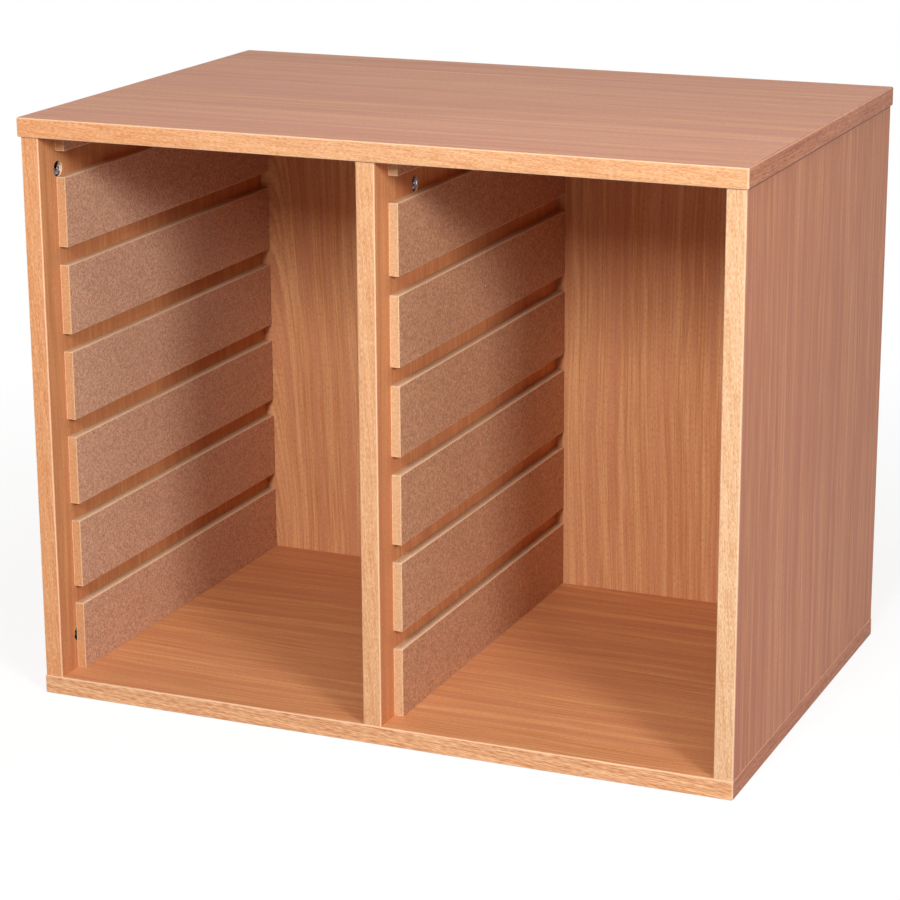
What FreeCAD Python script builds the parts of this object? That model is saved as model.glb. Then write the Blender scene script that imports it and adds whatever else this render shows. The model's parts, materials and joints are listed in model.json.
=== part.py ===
import FreeCAD, Part
import os

# Open-fronted storage carcass for twelve shallow trays, in two bays of six.
# Beech-effect chipboard panels, lipped with 2 mm edging, carry MDF runner strips on both
# walls of each bay. A tray's rims slide in the grooves between the strips.
# Millimetres. X runs across the front, Y from front to back, Z up.
# The origin is the centre of the rectangle that the whole carcass covers on the floor.

# ---- Boards and edging ----
board_thickness = 18.0
edging_thickness = 2.0
edging_arris_radius = 1.5
edging_corner_radius = 1.8

# ---- Bays ----
bay_width = 318.0
bay_depth = 442.0
top_side_overhang = 2.2
top_front_overhang = 3.0
bottom_side_overhang = 0.6
bottom_front_overhang = 1.2

# ---- MDF runner strips ----
tray_rows = 6
strip_height = 66.0
strip_thickness = 9.0
strip_setback = 30.0
strip_back_gap = 1.0
strip_arris = 0.5
tray_groove = 17.0
top_groove = 24.0
top_strip_height = 17.0

# ---- Headless pins that hold the strips while their glue sets ----
pin_diameter = 0.8
pin_recess = 0.3
pin_grip = 7.0
pin_front_inset = 12.0
pin_middle_inset = 237.0
pin_rear_inset = 40.0

# ---- Cam locks and their connecting bolts ----
cam_diameter = 14.8
cam_height = 12.2
cam_recess = 1.3
cam_bore_clearance = 0.1
cam_bore_floor_gap = 0.6
cam_end_distance = 34.0
side_cam_inset = 33.0
divider_cam_inset = 88.0
cam_rim_width = 1.1
cam_dish_depth = 0.5
cam_slot_width = 1.7
cam_slot_length = 8.4
cam_slot_depth = 3.2
bolt_thread_diameter = 5.0
bolt_thread_length = 11.0
bolt_shank_diameter = 6.0
bolt_neck_diameter = 3.0
bolt_neck_length = 8.0
bolt_head_diameter = 5.0
bolt_head_length = 3.4
bolt_bore_clearance = 1.0
thread_bore_clearance = 0.05

# ---- Wooden dowels ----
dowel_diameter = 8.0
dowel_face_length = 10.0
dowel_edge_length = 20.0
dowel_bore_clearance = 0.05
dowel_end_clearance = 1.0
dowel_to_cam = 64.0
back_dowels_per_edge = 3
back_dowels_per_bay = 2
back_dowel_margin = 60.0

# ---- Worked-out places ----
clear_height = (
    tray_rows * strip_height + (tray_rows - 1) * tray_groove + top_groove + top_strip_height
)
carcass_width = 2 * bay_width + 3 * board_thickness
carcass_depth = bay_depth + board_thickness
overall_depth = carcass_depth + top_front_overhang
base_top_z = board_thickness
ceiling_z = base_top_z + clear_height
front_y = top_front_overhang - overall_depth / 2
back_y = overall_depth / 2
back_face_y = back_y - board_thickness
wall_x = carcass_width / 2 - board_thickness
divider_face_x = board_thickness / 2

LEFT, RIGHT = -1, 1
UP = FreeCAD.Vector(0, 0, 1)
DOWN = FreeCAD.Vector(0, 0, -1)
BACKWARD = FreeCAD.Vector(0, 1, 0)


def sideways(direction):
    """Unit vector to the left (-1) or the right (+1)."""
    return FreeCAD.Vector(direction, 0, 0)


def box(x_range, y_range, z_range):
    """Box between two values along each axis, given in either order."""
    lowest = [min(pair) for pair in (x_range, y_range, z_range)]
    sizes = [abs(pair[1] - pair[0]) for pair in (x_range, y_range, z_range)]
    return Part.makeBox(*sizes, FreeCAD.Vector(*lowest))


def rod(diameter, length, start, direction):
    """Round bar from a starting point along a direction."""
    return Part.makeCylinder(diameter / 2, length, start, direction)


def edges_along(shape, axis):
    """Straight edges of a shape that run along axis 0, 1 or 2."""
    found = []
    for edge in shape.Edges:
        run = edge.Vertexes[-1].Point - edge.Vertexes[0].Point
        if abs(run[axis]) > 0.999 * edge.Length:
            found.append(edge)
    return found


def save(name, shape):
    """Write one node's STEP file."""
    shape.exportStep("parts/" + name + ".step")


# ---- Where the joints are ----
def upright_centres():
    """Mid-plane X of each upright, with the side on which its cam locks open."""
    side_x = wall_x + board_thickness / 2
    return {
        "left_side_panel": (-side_x, RIGHT),
        "right_side_panel": (side_x, LEFT),
        "centre_divider": (0.0, RIGHT),
    }


def cam_depths(name):
    """Y of an upright's front and rear cam locks."""
    if name == "centre_divider":
        return [front_y + divider_cam_inset, back_face_y - divider_cam_inset]
    return [front_y + side_cam_inset, back_y - side_cam_inset]


def upright_dowel_depths(name):
    """Y of an upright's dowels, which stand inside its cam locks."""
    front_cam, rear_cam = cam_depths(name)
    return [front_cam + dowel_to_cam, rear_cam - dowel_to_cam]


def panel_ends():
    """Height of each end of the uprights, with the way out of the upright there."""
    return [(base_top_z, DOWN), (ceiling_z, UP)]


def spread(first, last, count):
    """Evenly spaced places from first to last."""
    step = (last - first) / (count - 1)
    return [first + step * index for index in range(count)]


def dowel_joints():
    """Every dowel as the point where its two panels meet and the way to its short end."""
    joints = []
    for name, (centre_x, _) in upright_centres().items():
        for y in upright_dowel_depths(name):
            for z, outward in panel_ends():
                joints.append((FreeCAD.Vector(centre_x, y, z), outward))
    back_middle_y = (back_face_y + back_y) / 2
    heights = spread(
        base_top_z + back_dowel_margin, ceiling_z - back_dowel_margin, back_dowels_per_edge
    )
    for z in heights:
        joints.append((FreeCAD.Vector(-wall_x, back_middle_y, z), sideways(LEFT)))
        joints.append((FreeCAD.Vector(wall_x, back_middle_y, z), sideways(RIGHT)))
        joints.append((FreeCAD.Vector(0, back_face_y, z), BACKWARD))
    for side in (LEFT, RIGHT):
        across = spread(
            divider_face_x + back_dowel_margin, wall_x - back_dowel_margin, back_dowels_per_bay
        )
        for x in across:
            for z, outward in panel_ends():
                joints.append((FreeCAD.Vector(side * x, back_middle_y, z), outward))
    return joints


def dowel(joint, outward, radial, axial):
    """Dowel, or with clearances its bore, across the joint between two panels."""
    start = joint - outward * (dowel_edge_length + axial)
    length = dowel_edge_length + dowel_face_length + 2 * axial
    return rod(dowel_diameter + 2 * radial, length, start, outward)


# ---- Fasteners ----
def cam_places():
    """Every cam lock: panel name, its place on the board's mid-plane and two directions."""
    places = []
    for name, (centre_x, opening) in upright_centres().items():
        for y in cam_depths(name):
            for z, outward in panel_ends():
                centre = FreeCAD.Vector(centre_x, y, z) - outward * cam_end_distance
                places.append((name, centre, sideways(opening), outward))
    return places


def cam_bore(centre, opening):
    """Blind bore for a cam lock, open on the board's face."""
    face = centre + opening * (board_thickness / 2)
    depth = cam_recess + cam_height + cam_bore_floor_gap
    return rod(cam_diameter + 2 * cam_bore_clearance, depth, face, opening * -1)


def cam_lock(centre, opening, outward):
    """Die-cast cam: a drum with a rim, a cross slot and a pocket for the bolt's head."""
    face = centre + opening * (board_thickness / 2 - cam_recess)
    drum = rod(cam_diameter, cam_height, face, opening * -1)
    dish = rod(cam_diameter - 2 * cam_rim_width, cam_dish_depth, face, opening * -1)
    pocket_diameter = bolt_head_diameter + bolt_bore_clearance
    pocket = rod(pocket_diameter, cam_diameter, centre - outward * (pocket_diameter / 2), outward)
    depth = (face.x, face.x - opening.x * cam_slot_depth)
    half_long, half_wide = cam_slot_length / 2, cam_slot_width / 2
    upright_slot = box(
        depth, (face.y - half_wide, face.y + half_wide), (face.z - half_long, face.z + half_long)
    )
    level_slot = box(
        depth, (face.y - half_long, face.y + half_long), (face.z - half_wide, face.z + half_wide)
    )
    return drum.cut([dish, pocket, upright_slot, level_slot]).removeSplitter()


def bolt_end(centre, outward):
    """Point where a connecting bolt leaves the upright's end."""
    return centre + outward * cam_end_distance


def bolt_bore(centre, outward):
    """Bore along the upright, from its end to the cam lock's centre."""
    diameter = bolt_head_diameter + 2 * bolt_bore_clearance
    return rod(diameter, cam_end_distance, centre, outward)


def thread_bore(centre, outward):
    """Bore for a connecting bolt's thread in the top or bottom panel."""
    diameter = bolt_thread_diameter + 2 * thread_bore_clearance
    return rod(diameter, bolt_thread_length + bolt_bore_clearance, bolt_end(centre, outward), outward)


def connecting_bolt(centre, outward):
    """Bolt with a head in the cam lock, a neck, a shank and a thread."""
    head_start = centre - outward * (bolt_head_length / 2)
    head = rod(bolt_head_diameter, bolt_head_length, head_start, outward)
    neck_start = head_start + outward * bolt_head_length
    neck = rod(bolt_neck_diameter, bolt_neck_length, neck_start, outward)
    shank_start = neck_start + outward * bolt_neck_length
    end = bolt_end(centre, outward)
    shank = rod(bolt_shank_diameter, (end - shank_start).Length, shank_start, outward)
    thread = rod(bolt_thread_diameter, bolt_thread_length, end, outward)
    return head.fuse([neck, shank, thread]).removeSplitter()


# ---- Runner strips ----
def strip_levels():
    """Lowest and highest Z of each strip of a wall, from the bottom panel up."""
    levels = []
    for row in range(tray_rows):
        bottom = base_top_z + row * (strip_height + tray_groove)
        levels.append((bottom, bottom + strip_height))
    levels.append((ceiling_z - top_strip_height, ceiling_z))
    return levels


def runner_walls():
    """Each wall that carries strips: name, X of its face and the way into the bay."""
    return [
        ("left_bay_left", -wall_x, RIGHT),
        ("left_bay_right", -divider_face_x, LEFT),
        ("right_bay_left", divider_face_x, RIGHT),
        ("right_bay_right", wall_x, LEFT),
    ]


def strip_ends():
    """Y of the front and rear ends of the strips."""
    return front_y + strip_setback, back_face_y - strip_back_gap


def pin_places(face_x, inward):
    """Where a wall's pins enter the strips' outer faces."""
    strip_front, strip_rear = strip_ends()
    depths = [
        strip_front + pin_front_inset,
        strip_front + pin_middle_inset,
        strip_rear - pin_rear_inset,
    ]
    x = face_x + inward * strip_thickness
    return [
        FreeCAD.Vector(x, y, (bottom + top) / 2) for bottom, top in strip_levels() for y in depths
    ]


def pin(place, inward):
    """Headless pin, punched below the strip's face and driven on into the wall."""
    start = place - sideways(inward) * pin_recess
    return rod(pin_diameter, strip_thickness - pin_recess + pin_grip, start, sideways(-inward))


def pin_hole(place, inward):
    """Hole that a pin leaves in its strip and its wall."""
    return rod(pin_diameter, strip_thickness + pin_grip, place, sideways(-inward))


def runner_strip(face_x, inward, bottom, top):
    """MDF strip with its two long outer arrises eased."""
    outer_x = face_x + inward * strip_thickness
    blank = box((face_x, outer_x), strip_ends(), (bottom, top))
    eased = [
        edge for edge in edges_along(blank, 1) if abs(edge.CenterOfMass.x - outer_x) < strip_arris
    ]
    return blank.makeChamfer(strip_arris, eased)


# ---- Panels ----
def lipped_board(x_range, y_range):
    """Level board with rounded corners and arrises, split into its core and four edgings."""
    z_range = (0.0, board_thickness)
    slab = box(x_range, y_range, z_range)
    slab = slab.makeFillet(edging_corner_radius, edges_along(slab, 2))
    rims = [
        edge for edge in slab.Edges
        if abs(edge.BoundBox.ZMax - edge.BoundBox.ZMin) < edging_arris_radius
    ]
    slab = slab.makeFillet(edging_arris_radius, rims)
    left, right = x_range
    front, rear = y_range
    inner_left, inner_right = left + edging_thickness, right - edging_thickness
    inner_front, inner_rear = front + edging_thickness, rear - edging_thickness
    zones = {
        "panel": box((inner_left, inner_right), (inner_front, inner_rear), z_range),
        "front_edging": box(x_range, (front, inner_front), z_range),
        "back_edging": box(x_range, (inner_rear, rear), z_range),
        "left_edging": box((left, inner_left), (inner_front, inner_rear), z_range),
        "right_edging": box((inner_right, right), (inner_front, inner_rear), z_range),
    }
    return {name: slab.common(zone) for name, zone in zones.items()}


def upright_board(centre_x, rear_y, edged_behind):
    """Standing board with edging in front and, if wanted, behind."""
    x_range = (centre_x - board_thickness / 2, centre_x + board_thickness / 2)
    z_range = (base_top_z, ceiling_z)
    slab = box(x_range, (front_y, rear_y), z_range)
    arrises = [edge for edge in edges_along(slab, 2) if edged_behind or edge.CenterOfMass.y < 0]
    slab = slab.makeFillet(edging_arris_radius, arrises)
    inner_front = front_y + edging_thickness
    inner_rear = rear_y - edging_thickness if edged_behind else rear_y
    zones = {
        "panel": box(x_range, (inner_front, inner_rear), z_range),
        "front_edging": box(x_range, (front_y, inner_front), z_range),
    }
    if edged_behind:
        zones["back_edging"] = box(x_range, (inner_rear, rear_y), z_range)
    return {name: slab.common(zone) for name, zone in zones.items()}


def dowel_bores():
    """Bores of all dowels."""
    return [
        dowel(joint, outward, dowel_bore_clearance, dowel_end_clearance)
        for joint, outward in dowel_joints()
    ]


def upright_bores(panel_name):
    """Bores of an upright for its cam locks, bolts and pins."""
    bores = []
    for name, centre, opening, outward in cam_places():
        if name == panel_name:
            bores.append(cam_bore(centre, opening))
            bores.append(bolt_bore(centre, outward))
    centre_x = upright_centres()[panel_name][0]
    for _, face_x, inward in runner_walls():
        if abs(face_x - centre_x) < board_thickness:
            bores += [pin_hole(place, inward) for place in pin_places(face_x, inward)]
    return bores


def touching(shape, bores):
    """Those bores that reach into a shape."""
    return [bore for bore in bores if shape.BoundBox.intersect(bore.BoundBox)]


def drilled(shape, bores):
    """Shape with the bores that reach it cut out."""
    reached = touching(shape, bores)
    return shape.cut(reached) if reached else shape


def make_top_and_bottom(dowels):
    """Top and bottom panels, drilled, with the edging round each."""
    thread_bores = [thread_bore(centre, outward) for _, centre, _, outward in cam_places()]
    lifts = {"top": (ceiling_z, top_side_overhang, top_front_overhang)}
    lifts["bottom"] = (0.0, bottom_side_overhang, bottom_front_overhang)
    for level, (lift, side_overhang, front_overhang) in lifts.items():
        half_width = carcass_width / 2 + side_overhang
        pieces = lipped_board((-half_width, half_width), (front_y - front_overhang, back_y))
        for name, piece in pieces.items():
            piece.translate(UP * lift)
            if name == "panel":
                piece = drilled(piece, thread_bores + dowels)
            save(level + "_" + name, piece)


def make_uprights(dowels):
    """Side panels and divider, drilled, with their edging."""
    for name, (centre_x, _) in upright_centres().items():
        is_side = name != "centre_divider"
        pieces = upright_board(centre_x, back_y if is_side else back_face_y, is_side)
        bores = dowels + upright_bores(name)
        save(name, drilled(pieces.pop("panel"), bores))
        short_name = name.replace("_panel", "")
        for piece_name, piece in pieces.items():
            save(short_name + "_" + piece_name, piece)


def make_back(dowels):
    """Back panel, set between the sides behind the divider."""
    panel = box((-wall_x, wall_x), (back_face_y, back_y), (base_top_z, ceiling_z))
    save("back_panel", drilled(panel, dowels))


def make_runner_strips():
    """Seven strips on each of the four walls, one node each, counted from the bottom."""
    for wall, face_x, inward in runner_walls():
        holes = [pin_hole(place, inward) for place in pin_places(face_x, inward)]
        for number, (bottom, top) in enumerate(strip_levels(), start=1):
            strip = runner_strip(face_x, inward, bottom, top)
            save(wall + "_runner_" + str(number), drilled(strip, holes))


def make_fasteners():
    """Cam locks, connecting bolts, dowels and pins, each kind in one node."""
    cams = [cam_lock(centre, opening, outward) for _, centre, opening, outward in cam_places()]
    bolts = [connecting_bolt(centre, outward) for _, centre, _, outward in cam_places()]
    dowels = [dowel(joint, outward, 0.0, 0.0) for joint, outward in dowel_joints()]
    pins = [
        pin(place, inward)
        for _, face_x, inward in runner_walls()
        for place in pin_places(face_x, inward)
    ]
    save("cam_locks", Part.makeCompound(cams))
    save("connecting_bolts", Part.makeCompound(bolts))
    save("wooden_dowels", Part.makeCompound(dowels))
    save("runner_pins", Part.makeCompound(pins))


os.makedirs("parts", exist_ok=True)
bores_for_dowels = dowel_bores()
make_top_and_bottom(bores_for_dowels)
make_uprights(bores_for_dowels)
make_back(bores_for_dowels)
make_runner_strips()
make_fasteners()
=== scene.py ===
"""Looks of an open-fronted tray carcass in two bays.

Beech-print melamine boards, ABS edging, raw MDF runner strips and zinc cam locks stand in a
plain studio. Lengths are metres unless a name ends in _mm. X runs across the front, Y from
front to back and Z up.
"""
import json
import logging
import math
from dataclasses import dataclass, replace
from enum import Enum
from typing import Any

import bpy
import numpy as np
from mathutils import Matrix, Vector

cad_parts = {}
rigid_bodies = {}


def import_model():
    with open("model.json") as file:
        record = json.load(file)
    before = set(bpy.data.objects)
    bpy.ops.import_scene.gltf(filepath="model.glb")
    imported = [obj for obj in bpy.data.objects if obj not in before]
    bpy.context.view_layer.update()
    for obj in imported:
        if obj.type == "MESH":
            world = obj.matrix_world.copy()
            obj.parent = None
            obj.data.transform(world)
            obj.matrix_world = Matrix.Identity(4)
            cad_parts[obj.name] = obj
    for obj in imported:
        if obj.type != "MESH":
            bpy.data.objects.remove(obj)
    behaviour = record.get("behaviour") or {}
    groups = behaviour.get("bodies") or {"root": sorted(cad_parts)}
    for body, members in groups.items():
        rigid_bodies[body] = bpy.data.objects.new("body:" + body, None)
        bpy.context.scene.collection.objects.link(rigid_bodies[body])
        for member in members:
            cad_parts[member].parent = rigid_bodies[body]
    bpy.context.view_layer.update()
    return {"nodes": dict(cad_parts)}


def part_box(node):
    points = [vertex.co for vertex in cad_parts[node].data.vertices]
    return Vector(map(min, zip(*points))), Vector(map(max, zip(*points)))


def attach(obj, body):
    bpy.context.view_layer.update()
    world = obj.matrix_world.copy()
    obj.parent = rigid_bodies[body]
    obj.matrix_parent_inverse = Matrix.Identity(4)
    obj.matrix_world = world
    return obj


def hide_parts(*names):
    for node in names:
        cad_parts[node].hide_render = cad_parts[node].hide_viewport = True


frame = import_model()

MM = 0.001
# Refractive index of melamine resin, ABS and wood fibre.
RESIN_IOR = 1.45
# Noise keeps mostly to this range, which is stretched over a pattern's full contrast.
NOISE_LOW, NOISE_HIGH = 0.3, 0.7
LOG = logging.getLogger("carcass")


class Axis(Enum):
    """A direction of the frame."""

    X = (1.0, 0.0, 0.0)
    Y = (0.0, 1.0, 0.0)
    Z = (0.0, 0.0, 1.0)


def linear(hex_colour: str) -> tuple[float, float, float, float]:
    """Turns an sRGB hex colour into linear RGBA, by the curve of the sRGB standard.

    Args:
        hex_colour: six hex digits after a hash, such as "#D9A27C".

    Returns:
        Linear red, green and blue, with an alpha of 1.
    """
    encoded = [int(hex_colour[start:start + 2], 16) / 255 for start in (1, 3, 5)]
    decoded = [c / 12.92 if c <= 0.04045 else ((c + 0.055) / 1.055) ** 2.4 for c in encoded]
    return (decoded[0], decoded[1], decoded[2], 1.0)


@dataclass(frozen=True)
class Nodes:
    """The nodes of a material or of the world.

    Attributes:
        tree: the node tree that they are in.
    """

    tree: bpy.types.NodeTree

    @classmethod
    def of(cls, owner: bpy.types.Material | bpy.types.World) -> "Nodes":
        """Empties the node tree of a material or a world.

        Args:
            owner: the material or the world.

        Returns:
            Its nodes, of which there are none yet.
        """
        owner.use_nodes = True
        owner.node_tree.nodes.clear()
        return cls(owner.node_tree)

    def add(
        self, kind: str, inputs: dict[str | int, Any] | None = None, **settings: Any
    ) -> bpy.types.Node:
        """Adds a node with its settings and its inputs.

        Args:
            kind: the node's type name, after ShaderNode.
            inputs: by name or number, a value, a hex colour, a socket, or a node whose first
                output is linked.
            settings: values of the node's own properties.

        Returns:
            The new node.
        """
        node = self.tree.nodes.new("ShaderNode" + kind)
        for name, value in settings.items():
            setattr(node, name, value)
        for key, value in (inputs or {}).items():
            if isinstance(value, bpy.types.Node):
                value = value.outputs[0]
            if isinstance(value, bpy.types.NodeSocket):
                self.tree.links.new(value, node.inputs[key])
            else:
                node.inputs[key].default_value = linear(value) if isinstance(value, str) else value
        return node

    def layered(self, base: Any, *coats: tuple[Any, Any]) -> Any:
        """Lays coats of colour over a base, one after another.

        Args:
            base: hex colour or socket.
            coats: each coat's share, from 0 to 1, and its hex colour or socket.

        Returns:
            The socket of the last colour.
        """
        for share, colour in coats:
            base = self.add("Mix", {0: share, 6: base, 7: colour}, data_type="RGBA").outputs[2]
        return base

    def facing(self, direction: Axis, least: float = 0.5) -> bpy.types.Node:
        """Finds the surfaces that face along a direction, either way.

        Args:
            direction: the direction.
            least: the smallest cosine that counts.

        Returns:
            A node with 1 on those surfaces and 0 on the others.
        """
        normal = self.add("TexCoord").outputs["Normal"]
        cosine = self.add("VectorMath", {0: normal, 1: direction.value},
                          operation="DOT_PRODUCT").outputs["Value"]
        either = self.add("Math", {0: cosine}, operation="ABSOLUTE")
        return self.add("Math", {0: either, 1: least}, operation="GREATER_THAN")

    def seen_directly(self) -> Any:
        """Finds what the camera sees itself, in a reflection or through glass.

        Returns:
            A node with 1 there and 0 for the light that surfaces scatter.
        """
        path = self.add("LightPath")
        seen: Any = path.outputs["Is Camera Ray"]
        for ray in ("Is Glossy Ray", "Is Transmission Ray"):
            seen = self.add("Math", {0: seen, 1: path.outputs[ray]}, operation="MAXIMUM")
        return seen

    def shade(self, colour: Any, height: Any, depth_mm: float, **looks: Any) -> None:
        """Ends a material with a shader, its fine relief and an output.

        Args:
            colour: hex colour or socket.
            height: socket with the height of the relief.
            depth_mm: depth of the relief.
            looks: the shader's other inputs, with _ for a space.
        """
        bump = self.add("Bump", {"Height": height, "Distance": depth_mm * MM})
        inputs = {name.replace("_", " "): value for name, value in looks.items()}
        shader = self.add("BsdfPrincipled", {"Base Color": colour, "Normal": bump, **inputs})
        self.add("OutputMaterial", {0: shader})


# ---- Patterns ----
@dataclass(frozen=True)
class Streak:
    """One layer of printed grain: noise drawn out along the grain.

    Attributes:
        width_mm: usual width of a streak.
        length_mm: usual length of a streak.
        weight: how far the layer moves the tone.
        detail: octaves of finer noise.
        seed: shift of the noise, so that layers differ.
        fade: how much weaker each finer octave is.
    """

    width_mm: float
    length_mm: float
    weight: float = 1.0
    detail: float = 1.0
    seed: float = 0.0
    fade: float = 0.55

    def draw(self, nodes: Nodes, places: tuple[Any, Any]) -> bpy.types.Node:
        """Draws the layer as 2D noise at (across / width, along / length).

        Args:
            nodes: get the layer's nodes.
            places: across and along the grain, in millimetres.

        Returns:
            The noise node, around 0.5.
        """
        u, v = (
            nodes.add("Math", {0: way, 1: 1 / size, 2: self.seed}, operation="MULTIPLY_ADD")
            for way, size in zip(places, (self.width_mm, self.length_mm))
        )
        point = nodes.add("CombineXYZ", {0: u, 1: v})
        return nodes.add("TexNoise", {"Vector": point, "Scale": 1.0, "Detail": self.detail,
                                      "Roughness": self.fade}, noise_dimensions="2D")


@dataclass(frozen=True)
class Grain:
    """How a printed grain lies on a piece.

    Attributes:
        along: the direction of the grain.
        shift_mm: where the print starts, across and along, so that pieces differ.
        heart_mm: across place of a figure's middle, or None for straight grain.
        heart_level_mm: along place at which the rings are widest.
        heart_tilt: how fast the rings close along the grain.
        wander_mm: how far a streak strays sideways.
        wander: how slowly it strays, over about a third of a metre, as a tree's rings do.
    """

    along: Axis
    shift_mm: tuple[float, float] = (0.0, 0.0)
    heart_mm: float | None = None
    heart_level_mm: float = -20.0
    heart_tilt: float = 0.09
    wander_mm: float = 14.0
    wander: Streak = Streak(110.0, 330.0, seed=3.7)

    def places(self, nodes: Nodes) -> tuple[Any, Any]:
        """Works out the across and along places, in millimetres.

        On a face, one of the two directions that aren't the grain's stays the same, so their
        sum runs across the grain on every face. Slow noise strays it sideways. With a heart,
        growth rings show as nested arches: across becomes
        sqrt((across - heart)^2 + (tilt * (along - level))^2).

        Args:
            nodes: get the grain's nodes.

        Returns:
            The across and along places.
        """
        place = nodes.add("TexCoord").outputs["Object"]
        with_grain = [part / MM for part in self.along.value]
        cross_grain = [(1 - part) / MM for part in self.along.value]
        across, along = (
            nodes.add("VectorMath", {0: place, 1: direction},
                      operation="DOT_PRODUCT").outputs["Value"]
            for direction in (cross_grain, with_grain)
        )
        slow = self.wander.draw(nodes, (across, along))
        across = nodes.add("Math", {0: slow, 1: self.wander_mm, 2: across},
                           operation="MULTIPLY_ADD")
        if self.heart_mm is not None:
            aside = nodes.add("Math", {0: across, 1: self.heart_mm}, operation="SUBTRACT")
            rise = nodes.add("Math", {0: along, 1: self.heart_tilt,
                                      2: -self.heart_tilt * self.heart_level_mm},
                             operation="MULTIPLY_ADD")
            pair = nodes.add("CombineXYZ", {0: aside, 1: rise})
            across = nodes.add("VectorMath", {0: pair}, operation="LENGTH").outputs["Value"]
        return tuple(nodes.add("Math", {0: way, 1: shift_mm}, operation="ADD")
                     for way, shift_mm in zip((across, along), self.shift_mm))


def tone_of(
    nodes: Nodes,
    places: tuple[Any, Any],
    layers: tuple[Streak, ...],
    middle: float,
    strength: float = 1.0,
) -> bpy.types.Node:
    """Adds layers of streaks: tone = middle + sum(2 * strength * weight * (noise - 0.5)).

    Args:
        nodes: get the layers' nodes.
        places: across and along the grain, in millimetres.
        layers: the layers of streaks.
        middle: the tone where every layer is plain.
        strength: how boldly all the layers stand out.

    Returns:
        The tone, kept from 0 to 1.
    """
    total: Any = middle - sum(layer.weight * strength for layer in layers)
    for layer in layers:
        total = nodes.add("Math", {0: layer.draw(nodes, places), 1: 2 * layer.weight * strength,
                                   2: total}, operation="MULTIPLY_ADD",
                          use_clamp=layer is layers[-1])
    return total


# ---- Finishes ----
class Batch(Enum):
    """Printings of the beech pattern: the dark, light and blush inks. ROSY is paler, partly as
    painted sheen.
    """

    ROSY = ("#C68667", "#E5AD8A", "#CB8978")
    RUSSET = ("#BF7653", "#DD9A70", "#C47961")
    AMBER = ("#C68355", "#E7A974", "#CE8660")
    HONEY = ("#CE8656", "#F0AD76", "#D68961")
    TAN = ("#D08F60", "#F1B884", "#D8946E")


class Roll(Enum):
    """Rolls of edging, dark and light inks; SHADED_LEFT and SHADED_SIDEWAYS are darker as painted
    shade, LIT_RIGHT lighter as painted light.
    """

    PLAIN = ("#C98757", "#E7B78C")
    SHADED_LEFT = ("#CC814F", "#EAAF80")
    LIT_RIGHT = ("#CD9364", "#ECC7A1")
    BOLD = ("#BD7547", "#F1C397")
    SHADED_SIDEWAYS = ("#A45B3A", "#DA9069")


@dataclass(frozen=True)
class Finish:
    """A real surface and how it is drawn.

    Attributes:
        name: the material's name.
    """

    name: str

    def paint(self, nodes: Nodes) -> None:
        """Draws the surface."""
        raise NotImplementedError

    def build(self) -> bpy.types.Material:
        """Builds the material.

        Returns:
            The material.
        """
        material = bpy.data.materials.new(self.name)
        self.paint(Nodes.of(material))
        return material


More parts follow.
